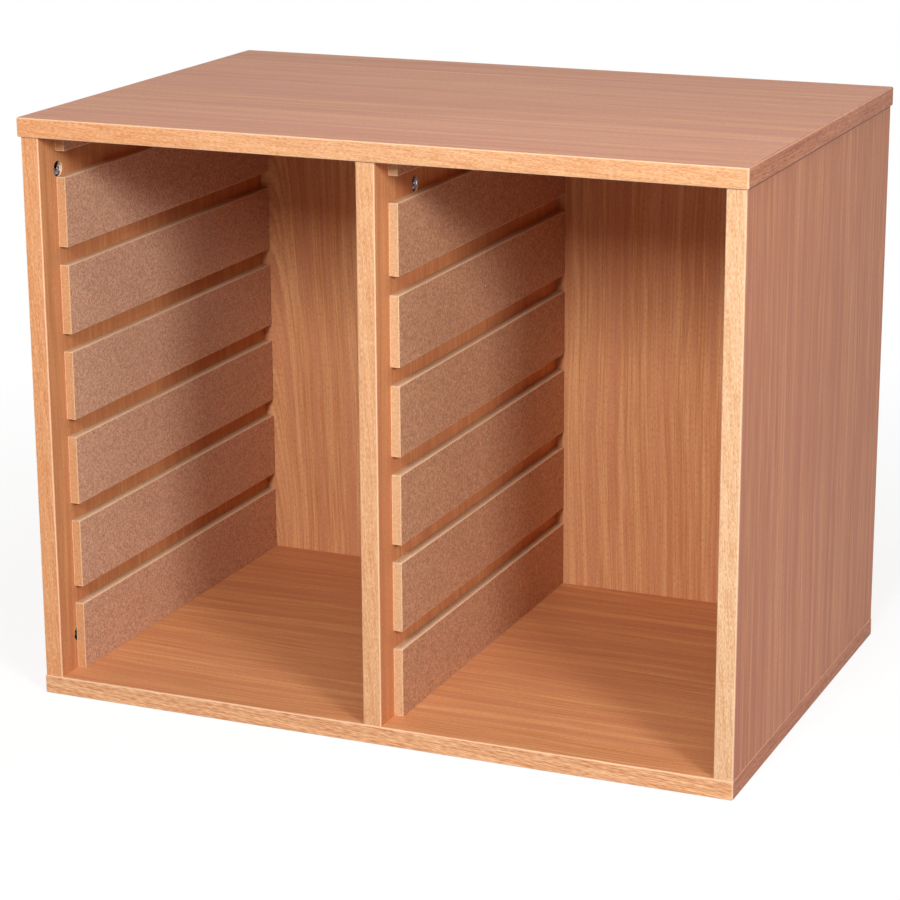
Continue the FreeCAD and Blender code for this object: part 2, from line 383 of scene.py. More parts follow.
@dataclass(frozen=True)
class BeechMelamine(Finish):
    """Beech-print melamine on chipboard, pressed against a satin plate.

    The eye sees a quiet printed grain, pinkish in the dark streaks and tan in the light ones,
    under a dull even sheen. Where the board is bored, it shows the pale chipboard inside.

    Attributes:
        grain: how the print lies.
        face: the direction that the board faces, or None for solid beech, which shows its
            grain all round.
        batch: the printing, with its inks.
        sheen: how strongly the face mirrors, as the shader's specular level.
        strength: how boldly the streaks stand out.
        overhang_shadow_mm: height above which a painted shadow of the overhanging top shows, or
            None.
        roughness: of the pressed face.
        layers: streaks of the grain, from the widest to the finest.
        middle: tone halfway between the dark and the light ink.
        pink: streaks of the blush ink, which show as the print's inks drift apart.
        pink_range: noise at which one begins and shows most, and its share there.
        flecks: ray flecks. Beech's are about 0.4 mm by 3 mm. They are drawn twice as wide,
            because finer ones would vanish.
        fleck_range: the same for them.
        fleck: colour of a fleck.
        painted_shade: colour of the painted shadow under the overhanging top.
        core: colour of chipboard.
        flake_mm: size of a chip.
        contrast: how far the chips differ.
        dimple_mm: spacing of the plate's fine dimples.
        dimple_depth_mm: their depth.
    """

    grain: Grain
    face: Axis | None
    batch: Batch = Batch.TAN
    sheen: float = 0.2
    strength: float = 1.0
    overhang_shadow_mm: float | None = None
    roughness: float = 0.45
    layers: tuple[Streak, ...] = (
        Streak(46.0, 1100.0, 0.22, 1.0, 7.3),
        Streak(9.0, 520.0, 0.34, 1.0, 14.6),
        Streak(3.0, 240.0, 0.50, 2.0, 21.9),
        Streak(1.3, 60.0, 0.45, 1.0, 29.2),
    )
    middle: float = 0.5
    pink: Streak = Streak(12.0, 700.0, seed=43.8)
    pink_range: tuple[float, float, float] = (0.42, 0.66, 0.6)
    flecks: Streak = Streak(0.9, 4.0, seed=36.5)
    fleck_range: tuple[float, float, float] = (0.45, 0.8, 0.42)
    fleck: str = "#AE6C4D"
    painted_shade: str = "#8E563B"
    core: str = "#E6C79E"
    flake_mm: float = 2.0
    contrast: float = 0.5
    dimple_mm: float = 0.6
    dimple_depth_mm: float = 0.012

    def paint(self, nodes: Nodes) -> None:
        """Draws the print, then the painted shadow under the top's overhang and the bored
        chipboard.

        Args:
            nodes: get the surface's nodes.
        """
        dark, light, blush = self.batch.value
        places = self.grain.places(nodes)
        tone = tone_of(nodes, places, self.layers, self.middle, self.strength)
        pink, fleck = (
            nodes.add("MapRange", {0: streak.draw(nodes, places), 1: start, 2: full, 4: share})
            for streak, (start, full, share) in ((self.pink, self.pink_range),
                                                 (self.flecks, self.fleck_range))
        )
        colour = nodes.layered(dark, (tone, light), (pink, blush), (fleck, self.fleck))
        place = nodes.add("TexCoord").outputs["Object"]
        # Above overhang_shadow_mm the colour turns to a painted shadow, the shade under the
        # overhanging top.
        if self.overhang_shadow_mm:
            level = nodes.add("SeparateXYZ", {0: place}).outputs["Z"]
            overhang_shadow = nodes.add("Math", {0: level, 1: self.overhang_shadow_mm * MM}, operation="GREATER_THAN")
            colour = nodes.layered(colour, (overhang_shadow, self.painted_shade))
        if self.face:
            flakes = nodes.add("TexVoronoi", {"Vector": place, "Scale": 1 / (self.flake_mm * MM)})
            chips = nodes.add("Mix", {0: self.contrast, 6: self.core, 7: flakes.outputs["Color"]},
                              data_type="RGBA", blend_type="SOFT_LIGHT")
            colour = nodes.layered(chips.outputs[2], (nodes.facing(self.face), colour))
        dimples = nodes.add("TexNoise", {"Vector": place, "Scale": 1 / (self.dimple_mm * MM),
                                         "Detail": 1.0})
        nodes.shade(colour, dimples, self.dimple_depth_mm, Roughness=self.roughness,
                    IOR=RESIN_IOR, Specular_IOR_Level=self.sheen)


@dataclass(frozen=True)
class AbsEdging(Finish):
    """Beech-print ABS edging, trimmed with a round cutter and scraped.

    The print is livelier than the boards': short cream and orange dashes that lean a little.
    The arris is paler, partly as ABS whitens under a blade and partly as a painted highlight.

    Attributes:
        grain: how the print lies.
        roll: the roll, with its inks.
        start_roll: the inks at the strip's low end, darker there as painted shade.
        shading_span_mm: places along the strip between which its colour turns from those inks to
            the roll's.
        arris: colour of the pale arris, whitened ABS with a painted highlight.
        painted_shade: painted shade on the arrises that face down, or None where they stay pale.
        band_mm: length of the print's bands.
        dash_mm: length of its dashes.
        sheen: the shader's specular level.
        lean: how far the dashes lean across for each millimetre along.
        roughness: of the buffed face.
        layers: the print's streaks, bands and dashes, at their usual lengths.
        middle: the tone between the dark and the light ink.
        flatness: sums of the normal's fourth powers between which the pale arris shows. The sum
            is 1 on a flat face and a half in the middle of an arris.
        scraping_and_highlight: how far the pale colour covers an arris.
        relief_mm: depth of the print's pores.
    """

    grain: Grain
    roll: Roll = Roll.PLAIN
    start_roll: Roll | None = None
    shading_span_mm: tuple[float, float] = (-330.0, 0.0)
    arris: str = "#EEC8A6"
    painted_shade: str | None = None
    band_mm: float = 22.0
    dash_mm: float = 3.6
    sheen: float = 0.2
    lean: float = 0.07
    roughness: float = 0.40
    layers: tuple[Streak, Streak, Streak] = (
        Streak(5.0, 160.0, 0.30, 1.0, 5.1),
        Streak(1.6, 22.0, 0.45, 1.0, 10.2),
        Streak(0.9, 3.6, 0.70, 1.0, 15.3),
    )
    middle: float = 0.52
    flatness: tuple[float, float] = (0.95, 0.60)
    scraping_and_highlight: float = 0.8
    relief_mm: float = 0.015

    def paint(self, nodes: Nodes) -> None:
        """Draws the print, then the pale arrises, with painted shade on those that face down.

        Args:
            nodes: get the surface's nodes.
        """
        across, along = self.grain.places(nodes)
        leaning = nodes.add("Math", {0: along, 1: self.lean, 2: across}, operation="MULTIPLY_ADD")
        streaks, bands, dashes = self.layers
        layers = (streaks, replace(bands, length_mm=self.band_mm),
                  replace(dashes, length_mm=self.dash_mm))
        tone = tone_of(nodes, (leaning, along), layers, self.middle)
        dark, light = self.roll.value
        colour = nodes.layered(dark, (tone, light))
        if self.start_roll:
            dark, light = self.start_roll.value
            start, end = self.shading_span_mm
            early = nodes.add("MapRange", {0: along, 1: start, 2: end, 3: 1.0, 4: 0.0})
            colour = nodes.layered(colour, (early, nodes.layered(dark, (tone, light))))
        normal = nodes.add("TexCoord").outputs["Normal"]
        squares = nodes.add("VectorMath", {0: normal, 1: normal}, operation="MULTIPLY")
        flat = nodes.add("VectorMath", {0: squares, 1: squares},
                         operation="DOT_PRODUCT").outputs["Value"]
        least, most = self.flatness
        scraped_and_lit = nodes.add("MapRange", {0: flat, 1: least, 2: most, 4: self.scraping_and_highlight})
        # The pale arris is partly a painted highlight; with glue set, the arrises that face down
        # get painted shade instead.
        arris: Any = self.arris
        if self.painted_shade:
            up = nodes.add("SeparateXYZ", {0: normal}).outputs["Z"]
            up = nodes.add("Math", {0: up, 1: 0.0}, operation="GREATER_THAN")
            arris = nodes.layered(self.painted_shade, (up, self.arris))
        nodes.shade(nodes.layered(colour, (scraped_and_lit, arris)), tone, self.relief_mm,
                    Roughness=self.roughness, IOR=RESIN_IOR, Specular_IOR_Level=self.sheen)


@dataclass(frozen=True)
class RawMdf(Finish):
    """Medium-density fibreboard, sanded on its faces and sawn on its edges.

    Sanded faces are brown and mottled. Sawn edges are paler and woolly, and the broken fibres
    along an arris are the palest, partly as a painted highlight. The long edges' colour is
    darkened as painted shade from the strip above, and the ends', which face the front, is a
    more orange copy as painted light. A pair of colours is that of the darker and lighter fibres.

    Attributes:
        face: colours of a face.
        edge: colours of a long edge, darkened as painted shade.
        arris: colours of a broken arris, partly a painted highlight, which the point attribute
            "arris" marks.
        end: colours of the sawn end, a more orange copy as painted light.
        shive: the few dark fibre bundles in a face.
        dent: colour of a dent's bottom, near black as painted shade, which the point attribute
            "dent" marks.
        mottle_mm: size of a mottle.
        mottle_fade: how much weaker each finer octave of the mottles is.
        fibre_mm: size of a fibre bundle, drawn as wide as it needs to show.
        fibre_fade: how much weaker each finer octave of the fibres is.
        shive_mm: spacing of the noise that picks the shives.
        shive_range: noise at which a shive begins and shows most, and its share there.
        edge_cosine: how squarely a long edge faces up or down, at least.
        relief_mm: depth of the woolly fibres.
        roughness: everywhere.
        sheen: the shader's specular level.
    """

    name: str = "raw_mdf"
    face: tuple[str, str] = ("#AD7D64", "#ECBFA0")
    edge: tuple[str, str] = ("#B8916F", "#D2B293")
    arris: tuple[str, str] = ("#DCB38E", "#F6D9B8")
    end: tuple[str, str] = ("#C28B5F", "#D8A67B")
    shive: str = "#8A5B41"
    dent: str = "#3A1F12"
    mottle_mm: float = 1.9
    mottle_fade: float = 0.62
    fibre_mm: float = 1.3
    fibre_fade: float = 0.5
    shive_mm: float = 2.4
    shive_range: tuple[float, float, float] = (0.68, 0.76, 0.8)
    edge_cosine: float = 0.8
    relief_mm: float = 0.05
    roughness: float = 0.85
    sheen: float = 0.3

    def paint(self, nodes: Nodes) -> None:
        """Draws the faces, the edges, the ends, the broken arrises and the dents.

        Args:
            nodes: get the surface's nodes.
        """
        place = nodes.add("TexCoord").outputs["Object"]
        mottles, fibres, picks = (
            nodes.add("TexNoise", {"Vector": place, "Scale": 1 / (size_mm * MM), "Detail": detail,
                                   "Roughness": fade})
            for size_mm, detail, fade in ((self.mottle_mm, 3.0, self.mottle_fade),
                                          (self.fibre_mm, 2.0, self.fibre_fade),
                                          (self.shive_mm, 2.0, self.fibre_fade))
        )
        start, full, share = self.shive_range
        mottle, fibre, shive = (
            nodes.add("MapRange", {0: noise, 1: low, 2: high, 4: most})
            for noise, low, high, most in ((mottles, NOISE_LOW, NOISE_HIGH, 1.0),
                                           (fibres, NOISE_LOW, NOISE_HIGH, 1.0),
                                           (picks, start, full, share))
        )
        edge, arris, end = (nodes.layered(dark, (fibre, light))
                            for dark, light in (self.edge, self.arris, self.end))
        broken, dented = (nodes.add("Attribute", attribute_name=tint).outputs["Fac"]
                          for tint in ("arris", "dent"))
        # The long edges' darker colour is painted shade; the ends' and the arrises' lighter colours
        # are partly painted light.
        colour = nodes.layered(
            self.face[0], (mottle, self.face[1]), (shive, self.shive),
            (nodes.facing(Axis.Z, self.edge_cosine), edge), (nodes.facing(Axis.Y), end),
            # The dents' near black is painted shade.
            (broken, arris), (dented, self.dent))
        nodes.shade(colour, fibre, self.relief_mm, Roughness=self.roughness, IOR=RESIN_IOR,
                    Specular_IOR_Level=self.sheen)


@dataclass(frozen=True)
class Metal(Finish):
    """Bare or plated metal with a faintly uneven polish.

    Attributes:
        colour: the metal's colour.
        roughness: the mean roughness.
        grit_mm: size of the unevenness.
        spread: how far the roughness varies.
        relief_mm: depth of the unevenness.
        recess_shade: colour of the painted shade in the deep places that the point attribute
            "recess" marks.
    """

    colour: str
    roughness: float
    grit_mm: float
    spread: float = 0.08
    relief_mm: float = 0.02
    recess_shade: str | None = None

    def paint(self, nodes: Nodes) -> None:
        """Draws the polish and the painted shade in the recesses.

        Args:
            nodes: get the surface's nodes.
        """
        place = nodes.add("TexCoord").outputs["Object"]
        grit = nodes.add("TexNoise", {"Vector": place, "Scale": 1 / (self.grit_mm * MM),
                                      "Detail": 2.0})
        rough = nodes.add("MapRange", {0: grit, 1: NOISE_LOW, 2: NOISE_HIGH,
                                       3: self.roughness - self.spread,
                                       4: self.roughness + self.spread})
        colour: Any = self.colour
        if self.recess_shade:
            recess = nodes.add("Attribute", attribute_name="recess").outputs["Fac"]
            colour = nodes.layered(colour, (recess, self.recess_shade))
        nodes.shade(colour, grit, self.relief_mm, Metallic=1.0, Roughness=rough)


@dataclass(frozen=True)
class MattPaper(Finish):
    """Matt white paper: even, dull and almost white.

    The camera sees it mixed with plain white, more so further from the object, so that no edge
    of the paper shows. It keeps the object's shadow.

    Attributes:
        colour: the paper's own colour.
        lift: share of plain white near the object.
        fade: radii between which the paper turns to plain white.
    """

    colour: str = "#E4E3E1"
    lift: float = 0.84
    fade: tuple[float, float] = (0.55, 1.3)

    def paint(self, nodes: Nodes) -> None:
        """Draws the paper and its fade.

        Args:
            nodes: get the surface's nodes.
        """
        place = nodes.add("TexCoord").outputs["Object"]
        away = nodes.add("VectorMath", {0: place}, operation="LENGTH").outputs["Value"]
        near, far = self.fade
        lift = nodes.add("MapRange", {0: away, 1: near, 2: far, 3: self.lift, 4: 1.0})
        share = nodes.add("Math", {0: lift, 1: nodes.seen_directly()}, operation="MULTIPLY")
        paper = nodes.add("BsdfDiffuse", {"Color": self.colour, 1: 1.0})
        white = nodes.add("Emission", {"Color": "#FFFFFF"})
        surface = nodes.add("MixShader", {0: share, 1: paper, 2: white})
        nodes.add("OutputMaterial", {0: surface})


# ---- Making pieces ----
def dress(node_names: list[str], material: bpy.types.Material) -> None:
    """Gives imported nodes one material.

    Args:
        node_names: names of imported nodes.
        material: the material that replaces each node's plain one.
    """
    for name in node_names:
        node = bpy.data.objects[name]
        node.data.materials.clear()
        node.data.materials.append(material)
        LOG.info("dressed %s with %s", name, material.name)


def closed_shell(
    rings: np.ndarray, start: np.ndarray, end: np.ndarray
) -> tuple[np.ndarray, np.ndarray, np.ndarray]:
    """Joins rings of points into a closed surface.

    Point (i, j) of the grid meets (i + 1, j) and (i, j + 1), the last point of a ring meets its
    first, and each end ring meets one pole. If the signed volume, the sum over triangles of
    a . (b x c) / 6, comes out negative, every face is turned round.

    Args:
        rings: array of rings x points x 3.
        start: pole that closes the first ring.
        end: pole that closes the last ring.

    Returns:
        Points, quads and triangles.
    """
    count, around = rings.shape[:2]
    points = np.concatenate([rings.reshape(-1, 3), start[None], end[None]])
    here = np.arange(count * around).reshape(count, around)
    after = np.roll(here, -1, axis=1)
    quads = np.stack([here[:-1], here[1:], after[1:], after[:-1]], axis=-1).reshape(-1, 4)
    pole = np.full(around, count * around)
    fans = np.concatenate([np.stack([pole, here[0], after[0]], axis=-1),
                           np.stack([here[-1], pole + 1, after[-1]], axis=-1)])
    triangles = np.concatenate([quads[:, [0, 1, 2]], quads[:, [0, 2, 3]], fans])
    a, b, c = (points[triangles[:, corner]] for corner in range(3))
    if np.einsum("ij,ij->", a - start, np.cross(b - start, c - start)) < 0:
        quads, fans = quads[:, ::-1], fans[:, ::-1]
    return points, quads, fans


def new_piece(
    name: str,
    shells: list[tuple[np.ndarray, np.ndarray, np.ndarray]],
    material: bpy.types.Material,
    replaced: list[str],
    tints: dict[str, np.ndarray] | None = None,
) -> None:
    """Makes one piece from closed shells and places it in the frame.

    Args:
        name: the piece's name.
        shells: points, quads and triangles of each shell.
        material: its finish.
        replaced: nodes that the piece stands for.
        tints: point attributes by name.
    """
    starts = np.cumsum([0] + [len(points) for points, _, _ in shells])
    points = np.concatenate([shell[0] for shell in shells])
    faces = []
    for start, (_, quads, fans) in zip(starts, shells):
        faces += (quads + start).tolist() + (fans + start).tolist()
    mesh = bpy.data.meshes.new(name)
    mesh.from_pydata(points.tolist(), [], faces)
    for tint, values in (tints or {}).items():
        attribute = mesh.attributes.new(tint, "FLOAT", "POINT")
        attribute.data.foreach_set("value", values.astype(np.float32))
    mesh.materials.append(material)
    piece = bpy.data.objects.new(name, mesh)
    bpy.context.scene.collection.objects.link(piece)
    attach(piece, "root")
    if replaced:
        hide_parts(*replaced)
    LOG.info("built %s with %d faces in %s", name, len(faces), material.name)


@dataclass
class Boards:
    """The six chipboard panels.

    Attributes:
        prints: each panel's own stretch of the beech print, named for the panel.
    """

    prints: tuple[BeechMelamine, ...] = (
        # The top's paler ROSY inks partly paint the sheen of its grazing reflection.
        BeechMelamine("top_panel", Grain(Axis.X, (210.0, 40.0)), Axis.Z, Batch.ROSY, 0.28,
                      roughness=0.55),
        BeechMelamine("bottom_panel", Grain(Axis.X, (-330.0, 900.0), wander_mm=26.0), Axis.Z,
                      Batch.AMBER, 0.15, 1.3),
        # The side panels get a painted shadow under the top's overhang, above overhang_shadow_mm.
        BeechMelamine("left_side_panel", Grain(Axis.Z, (700.0, 0.0)), Axis.X,
                      Batch.AMBER, 0.1, overhang_shadow_mm=538.4),
        BeechMelamine("right_side_panel", Grain(Axis.Z, (-900.0, 300.0)), Axis.X,
                      Batch.RUSSET, 0.1, 1.75, overhang_shadow_mm=538.4),
        BeechMelamine("centre_divider", Grain(Axis.Z, (1500.0, -200.0)), Axis.X,
                      Batch.HONEY, 0.1),
        BeechMelamine("back_panel", Grain(Axis.Z, heart_mm=-98.0, wander_mm=15.0), Axis.Y,
                      Batch.TAN, 0.15, 1.5),
    )

    def dress(self) -> None:
        """Gives each panel its print."""
        for board in self.prints:
            dress([board.name], replace(board, name="beech_melamine_" + board.name).build())


@dataclass(frozen=True)
class Edgings:
    """The ABS edging strips.

    Attributes:
        across: finish of the strips along the front and the back.
        deep: finish of the strips from front to back, inked darker as painted shade of their
            sideways faces.
        upright: finish of the upright strips.
    """

    across: AbsEdging = AbsEdging("beech_abs_edging_across", Grain(Axis.X, wander_mm=3.0))
    # The strips from front to back are inked darker as painted shade of their sideways faces, and
    # their downward arrises get painted shade.
    deep: AbsEdging = AbsEdging(
        "beech_abs_edging_deep", Grain(Axis.Y, wander_mm=3.0), Roll.SHADED_SIDEWAYS, arris="#DDA88B",
        painted_shade="#5E321C", band_mm=60.0, dash_mm=12.0, sheen=0.08, lean=0.0)
    upright: AbsEdging = AbsEdging("beech_abs_edging_upright", Grain(Axis.Z, wander_mm=3.0))

    def dress(self) -> None:
        """Prints each strip along its own length, with inks that paint light and shade."""
        dress(["top_back_edging"], self.across.build())
        dress(["bottom_front_edging", "bottom_back_edging"],
              replace(self.across, name=self.across.name + "_bold", roll=Roll.BOLD,
                      band_mm=90.0, dash_mm=9.0).build())
        # The top's front strip darkens towards its left end, as painted shade.
        dress(["top_front_edging"],
              replace(self.across, name=self.across.name + "_drifting",
                      start_roll=Roll.SHADED_LEFT).build())
        dress(["top_left_edging", "top_right_edging",
               "bottom_left_edging", "bottom_right_edging"], self.deep.build())
        dress(["centre_divider_front_edging"], self.upright.build())
        # The left side's strips are darker as painted shade, the right side's lighter as painted
        # light.
        for side, roll in (("left_side", Roll.SHADED_LEFT), ("right_side", Roll.LIT_RIGHT)):
            edging = replace(self.upright, name="beech_abs_edging_" + side, roll=roll)
            dress([side + "_front_edging", side + "_back_edging"], edging.build())


@dataclass(frozen=True)
class Dent:
    """A small dent in a strip's face.

    Attributes:
        strip: the strip's name.
        y: place from front to back.
        z: height.
        radius: where the dent has faded to 60 % of its depth.
        depth: at its middle.
        crown: length of the staple crown that shows in it, or 0 for a bare dent.
        reach: how many radii away it has faded out.
        points: points of the strip's grid across it.
    """

    strip: str
    y: float
    z: float
    radius: float = 1.3 * MM
    depth: float = 0.6 * MM
    crown: float = 0.0
    reach: float = 3.0
    points: int = 13

    def offsets(self) -> np.ndarray:
        """Gives the distances from its middle at which the strip's grid needs points."""
        return np.linspace(-self.reach, self.reach, self.points) * self.radius

    def share(self, y: np.ndarray, z: np.ndarray) -> np.ndarray:
        """Works out exp(-distance^2 / (2 radius^2)), the share of the full depth.

        Args:
            y: places from front to back.
            z: heights.

        Returns:
            Shares from 0 to 1.
        """
        return np.exp(-((y - self.y) ** 2 + (z - self.z) ** 2) / (2 * self.radius ** 2))


MARKS = (
    Dent("right_bay_left_runner_6", -180.0 * MM, 458.5 * MM, 0.6 * MM, 0.8 * MM),
    Dent("right_bay_left_runner_5", 1.2 * MM, 383.2 * MM, crown=3.4 * MM),
    Dent("right_bay_left_runner_3", 4.9 * MM, 230.6 * MM, crown=3.6 * MM),
    Dent("right_bay_left_runner_1", 46.2 * MM, 50.2 * MM, crown=4.6 * MM),
    Dent("left_bay_left_runner_3", -27.9 * MM, 215.3 * MM, crown=3.6 * MM),
)


@dataclass
class RunnerStrips:
    """The 28 MDF strips that carry the trays.

    Attributes:
        arris: radius of the eased arrises.
        arris_points: points round an eased arris.
        face_points: even points up a face.
        section_step: spacing of the cross-sections along a strip.
        second_section: where the second section stands, in arris radii.
        end_draw: how far the ends are drawn in, in arris radii.
        fuzz: how deep the saw has broken the arris.
        end_border: width of the pale border of a sawn end.
        boards: by bay, the board that its strips were cut from.
    """

    arris: float = 0.5 * MM
    arris_points: int = 4
    face_points: int = 5
    section_step: float = 4.0 * MM
    second_section: float = 0.4
    end_draw: float = 0.6
    fuzz: float = 0.10 * MM
    end_border: float = 0.8 * MM
    boards: tuple[tuple[str, RawMdf], ...] = (
        ("left_bay", RawMdf("raw_mdf")),
        ("right_bay", RawMdf("raw_mdf_warm", face=("#AA775B", "#E8B691"),
                             end=("#C79A70", "#DEB78F"))),
    )

    def sections(self, front: float, rear: float, more: list[np.ndarray]) -> np.ndarray:
        """Chooses where the cross-sections stand along a strip.

        Args:
            front: the strip's front end.
            rear: its rear end.
            more: places that its dents need.

        Returns:
            Places from front to back.
        """
        even = np.arange(front + 2 * self.arris, rear - self.arris, self.section_step)
        return np.concatenate([
            [front, front + self.arris * self.second_section, front + self.arris],
            np.union1d(even, more), [rear - self.arris, rear],
        ])

    def profile(
        self, thickness: float, height: float, more: list[np.ndarray]
    ) -> tuple[np.ndarray, np.ndarray, np.ndarray]:
        """Draws the profile, from the wall along the bottom, up the face and back along the top.

        Args:
            thickness: of the strip.
            height: of the strip.
            more: heights on the face that its dents need.

        Returns:
            Places out from the wall, heights, and 1 on the two eased arrises.
        """
        turn = np.linspace(0.0, math.pi / 2, self.arris_points)
        even = np.linspace(2 * self.arris, height - 2 * self.arris, self.face_points)
        rises = np.union1d(even, more)
        corner = thickness - self.arris
        across = np.concatenate([
            [0.0, corner / 2], corner + self.arris * np.sin(turn),
            np.full(len(rises), thickness), corner + self.arris * np.cos(turn), [corner / 2, 0.0],
        ])
        up = np.concatenate([
            [0.0, 0.0], self.arris * (1 - np.cos(turn)), rises,
            height - self.arris * (1 - np.sin(turn)), [height, height],
        ])
        eased = np.ones(len(turn))
        broken = np.concatenate([[0, 0], eased, np.zeros(len(rises)), eased, [0, 0]])
        return across, up, broken

    def strip(self, name: str, material: bpy.types.Material, seed: int) -> None:
        """Builds one strip as a profile carried from its front end to its rear end.

        Each section's arrises are drawn in by a seeded random depth. At both ends the profile
        shrinks, and one more ring marks off a border.

        Args:
            name: the node's name.
            material: its finish.
            seed: seed of the broken arrises.
        """
        low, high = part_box(name)
        inward = 1.0 if name.split("_runner_")[0].endswith("left") else -1.0
        wall = low[0] if inward > 0 else high[0]
        thickness, height = high[0] - low[0], high[2] - low[2]
        middle = height / 2
        dents = [mark for mark in MARKS if mark.strip == name]
        lengths = self.sections(low[1], high[1], [dent.y + dent.offsets() for dent in dents])
        across, up, broken = self.profile(
            thickness, height, [dent.z - low[2] + dent.offsets() for dent in dents])
        ends = [low[1], low[1] + self.arris, high[1] - self.arris, high[1]]
        ends_in = np.interp(lengths, ends, [1, 0, 0, 1])[:, None] * self.arris * self.end_draw
        fuzz = np.abs(np.random.default_rng(seed).normal(0.0, self.fuzz, (len(lengths), 2)))
        drawn_in = ends_in + np.where(up < middle, fuzz[:, :1], fuzz[:, 1:]) * broken
        dented, depth = np.zeros(drawn_in.shape), 0.0
        for dent in dents:
            dented = np.maximum(dented, dent.share(lengths[:, None], up + low[2]))
            depth = max(depth, dent.depth)
        outer = across > thickness - self.arris
        rings = np.empty(drawn_in.shape + (3,))
        rings[..., 0] = wall + inward * (across - outer * (drawn_in + depth * dented))
        rings[..., 1] = lengths[:, None]
        rings[..., 2] = low[2] + middle + (up - middle) * (1 - drawn_in / middle)
        centre = np.array([wall + inward * thickness / 2, 0.0, low[2] + middle])
        shrink = 1 - self.end_border / np.array([thickness / 2, math.inf, middle])
        inner = centre + (rings[[0, -1]] - centre) * shrink
        rings = np.concatenate([inner[:1], rings, inner[1:]])
        poles = [np.array([centre[0], y, centre[2]]) for y in (low[1], high[1])]
        # The arrises and the ends' borders get the pale tint, partly a painted highlight.
        pale = np.tile(broken, (len(lengths), 1))
        pale[[0, -1]] = 1.0
        # The two inner rings and the two poles have neither tint.
        tints = {tint: np.pad(np.pad(shares, ((1, 1), (0, 0))).reshape(-1), (0, len(poles)))
                 for tint, shares in (("arris", pale), ("dent", dented))}
        new_piece(name + "_strip", [closed_shell(rings, *poles)], material, [name], tints)

    def build(self) -> None:
        """Builds every strip."""
        materials = {bay: board.build() for bay, board in self.boards}
        names = sorted(name for name in frame["nodes"] if "_runner_" in name)
        for seed, name in enumerate(names):
            bay = next(bay for bay in materials if name.startswith(bay))
            self.strip(name, materials[bay], seed)


@dataclass
class StapleCrowns:
    """Crowns of the staples that show in the strips' faces, each in its own small dent.

    Attributes:
        radius: of the wire.
        raised: how far the wire's middle stands out of the strip's face.
        tip_angle: angle of the first ring of a domed end.
        dome_rings: rings in a domed end.
        around: points round the wire.
    """

    radius: float = 0.9 * MM
    raised: float = 0.1 * MM
    tip_angle: float = 0.15
    dome_rings: int = 5
    around: int = 12

    def crown(self, mark: Dent) -> tuple[np.ndarray, np.ndarray, np.ndarray]:
        """Builds one crown as an upright wire with domed ends.

        A ring at angle t from an end, for t up to a quarter turn, has radius r sin(t) and
        stands r (1 - cos(t)) from that end.

        Args:
            mark: the dent that it lies in.

        Returns:
            Points, quads and triangles.
        """
        middle = np.array([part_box(mark.strip)[1][0] + self.raised, mark.y, mark.z])
        dome = np.linspace(self.tip_angle, math.pi / 2, self.dome_rings)
        radii = self.radius * np.sin(np.concatenate([dome, dome[::-1]]))
        rise = self.radius * (1 - np.cos(dome))
        heights = np.concatenate([rise, mark.crown - rise[::-1]]) - mark.crown / 2
        turn = np.linspace(0.0, 2 * math.pi, self.around, endpoint=False)
        rings = np.empty((len(radii), len(turn), 3))
        rings[..., 0] = middle[0] + radii[:, None] * np.cos(turn)
        rings[..., 1] = middle[1] + radii[:, None] * np.sin(turn)
        rings[..., 2] = middle[2] + heights[:, None]
        half = np.array([0.0, 0.0, mark.crown / 2])
        return closed_shell(rings, middle - half, middle + half)

    def build(self) -> None:
        """Builds the crowns as one piece."""
        metal = Metal("bright_staple_wire", "#E4E7EB", 0.28, 0.5).build()
        shells = [self.crown(mark) for mark in MARKS if mark.crown]
        new_piece("staple_crowns", shells, metal, [])


@dataclass(frozen=True)
class DrumFace:
    """Relief of a cam drum's face, in millimetres: u runs to the back and v to the bolt.

    Attributes:
        step: width over which one level turns into the next.
        plate: depth and radius of the plate inside the rim.
        lug: places of a lug's middle, at u and -u, and at v.
        boss: place of the boss's middle along v.
        knob: radius of the lugs and of the boss.
        pocket: depth of the pocket, its half width beside the lugs, and how fast it widens.
        moat: depth and radius of the moat round the boss, and where it starts along v.
        cross: depth, half width and reach of the boss's cross recess.
        gap: depth of the gap that closes the circle, its place along v, and its radius.
    """

    step: float = 0.25
    plate: tuple[float, float] = (1.0, 6.7)
    lug: tuple[float, float] = (3.9, -0.2)
    boss: float = -3.7
    knob: float = 2.3
    pocket: tuple[float, float, float] = (5.0, 0.7, 0.75)
    moat: tuple[float, float, float] = (2.2, 3.4, -5.0)
    cross: tuple[float, float, float] = (1.4, 0.4, 1.6)
    gap: tuple[float, float, float] = (2.4, -5.6, 7.0)

    def inside(self, distance: np.ndarray) -> np.ndarray:
        """Turns a distance into a soft mask: 1 inside (positive) and 0 outside."""
        return np.clip(0.5 + distance / self.step, 0.0, 1.0)

    def depth(self, u: np.ndarray, v: np.ndarray) -> np.ndarray:
        """Works out how deep the face lies below its rim.

        The lugs and the boss are domes of height h * sqrt(1 - (distance / radius)^2) on the
        plate. Between the lugs, a V-shaped pocket opens towards the bolt.

        Args:
            u: places to the back.
            v: places towards the bolt.

        Returns:
            Depths.
        """
        away = np.hypot(u, v)
        beside, level = self.lug
        lug = np.hypot(np.abs(u) - beside, v - level)
        boss = np.hypot(u, v - self.boss)
        deep, radius = self.plate
        on_plate = self.inside(radius - away)
        plate = deep * on_plate
        for knob in (lug, boss):
            plate = plate - deep * np.sqrt(np.clip(1 - (knob / self.knob) ** 2, 0.0, 1.0))
        deep, half, widening = self.pocket
        pocket = deep * self.inside(half + widening * (v - level) - np.abs(u)) * on_plate
        deep, radius, start = self.moat
        moat = deep * self.inside(radius - boss) * self.inside(boss - self.knob)
        moat = moat * self.inside(v - start)
        deep, half, reach = self.cross
        cross = self.inside(half - np.minimum(np.abs(u), np.abs(v - self.boss)))
        cross = deep * cross * self.inside(reach - boss)
        deep, end, radius = self.gap
        gap = deep * self.inside(end - v) * self.inside(radius - away)
        return np.maximum.reduce([plate, pocket, moat, cross, gap])


